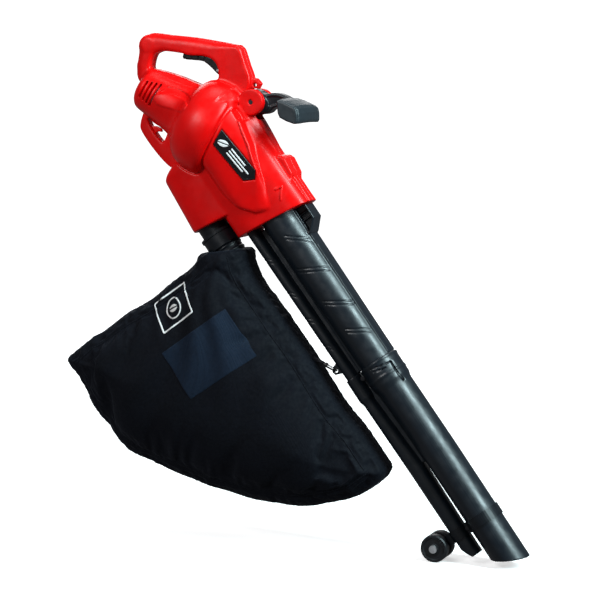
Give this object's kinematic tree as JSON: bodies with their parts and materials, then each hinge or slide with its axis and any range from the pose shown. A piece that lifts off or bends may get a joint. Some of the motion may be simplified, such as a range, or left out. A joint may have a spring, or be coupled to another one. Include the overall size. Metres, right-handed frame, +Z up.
{
  "type": "leaf blower",
  "caption": "Garden leaf blower and vacuum: slanted motor and fan housing with a D handle, twin tubes on two small wheels, front grip and a collecting bag.",
  "frame": {"origin": "middle of the main grip, where the hand holds the machine", "axes": "+X forward, the way the nozzle points over the ground; +Z up; +Y to the machine's left as its user holds it. The tubes slope 54 degrees down towards +X, the working stance."},
  "size_m": [0.9427, 0.192, 0.9817],
  "materials": {
    "red_plastic": "semi-gloss moulded, lightly textured",
    "black_plastic": "satin moulded",
    "tube_plastic": "satin-gloss moulded",
    "grip_rubber": "soft overmould",
    "plate": "gloss insert",
    "bag_fabric": "woven polyester",
    "webbing": "woven tape",
    "wheel_rubber": "matt",
    "steel": "zinc plated",
    "bright_steel": "ground",
    "copper": "enamelled winding",
    "brass": "drawn",
    "board": "solder mask",
    "aluminium": "cast",
    "grey_plastic": "satin moulded"
  },
  "bodies": {
    "root": {"housing_right": "red_plastic", "housing_left": "red_plastic", "housing_screws": "steel", "name_plate": "plate", "cable_hook": "red_plastic", "trigger_pin": "steel", "trigger_spring": "bright_steel", "trigger_switch": "grey_plastic", "speed_dial_pin": "steel", "speed_board": "board", "motor_stator": "steel", "brush_holders": "brass", "rear_bearing": "bright_steel", "front_bearing": "bright_steel", "motor_bulkhead": "aluminium", "inlet_ring": "black_plastic", "plenum_divider": "black_plastic", "bag_port": "black_plastic", "pivot_bolt": "steel", "pivot_nut": "black_plastic", "interlock_switch": "grey_plastic", "upper_tube": "tube_plastic", "lower_tube": "tube_plastic", "tube_screws": "steel", "strap_lug": "tube_plastic", "wheel_bracket": "black_plastic", "bracket_screw": "steel", "wheel_axle": "bright_steel", "axle_caps": "bright_steel", "bag": "bag_fabric", "bag_collar": "black_plastic", "bag_strap": "webbing", "snap_hook": "black_plastic"},
    "trigger": {"trigger": "black_plastic"},
    "speed_dial": {"speed_dial": "red_plastic"},
    "rotor": {"motor_armature": "copper", "commutator": "brass", "motor_shaft": "bright_steel", "cooling_fan": "grey_plastic", "impeller": "aluminium", "impeller_nut": "steel"},
    "diverter": {"diverter_flap": "grey_plastic", "diverter_lever": "black_plastic"},
    "front_handle": {"front_handle_arm": "black_plastic", "front_handle_grip": "grip_rubber"},
    "wheel_right": {"wheel_right": "wheel_rubber"},
    "wheel_left": {"wheel_left": "wheel_rubber"},
    "hook_gate": {"hook_gate": "bright_steel"}
  },
  "joints": [
    {"name": "trigger_pull", "type": "hinge", "parent": "root", "child": "trigger", "pos_m": [0.04652, 0, -0.04531], "axis": [0, 1, 0], "range_deg": [0, 6], "stiffness_Nm_per_rad": 1.2, "springref_deg": -6.88, "deforming": ["trigger_spring"]},
    {"name": "speed_dial_turn", "type": "hinge", "parent": "root", "child": "speed_dial", "pos_m": [-0.10374, 0, 0.00498], "axis": [0, 1, 0], "range_deg": [-135, 135]},
    {"name": "rotor_spin", "type": "hinge", "parent": "root", "child": "rotor", "pos_m": [0.0566, 0, -0.17148], "axis": [0.8746, 0, -0.4848], "continuous": true},
    {"name": "diverter_turn", "type": "hinge", "parent": "root", "child": "diverter", "pos_m": [0.0486, 0, -0.30337], "axis": [0, -1, 0], "range_deg": [0, 88]},
    {"name": "front_handle_tilt", "type": "hinge", "parent": "root", "child": "front_handle", "pos_m": [0.12023, 0, -0.10424], "axis": [0, 1, 0], "range_deg": [-35, 18]},
    {"name": "wheel_right_spin", "type": "hinge", "parent": "root", "child": "wheel_right", "pos_m": [0.48833, 0, -0.93072], "axis": [0, 1, 0], "continuous": true},
    {"name": "wheel_left_spin", "type": "hinge", "parent": "root", "child": "wheel_left", "pos_m": [0.48833, 0, -0.93072], "axis": [0, 1, 0], "continuous": true},
    {"name": "hook_gate_swing", "type": "hinge", "parent": "root", "child": "hook_gate", "pos_m": [0.26393, 0.007, -0.60103], "axis": [-0.4067, 0, -0.9135], "range_deg": [0, 18], "stiffness_Nm_per_rad": 0.005, "springref_deg": -11.46}
  ]
}
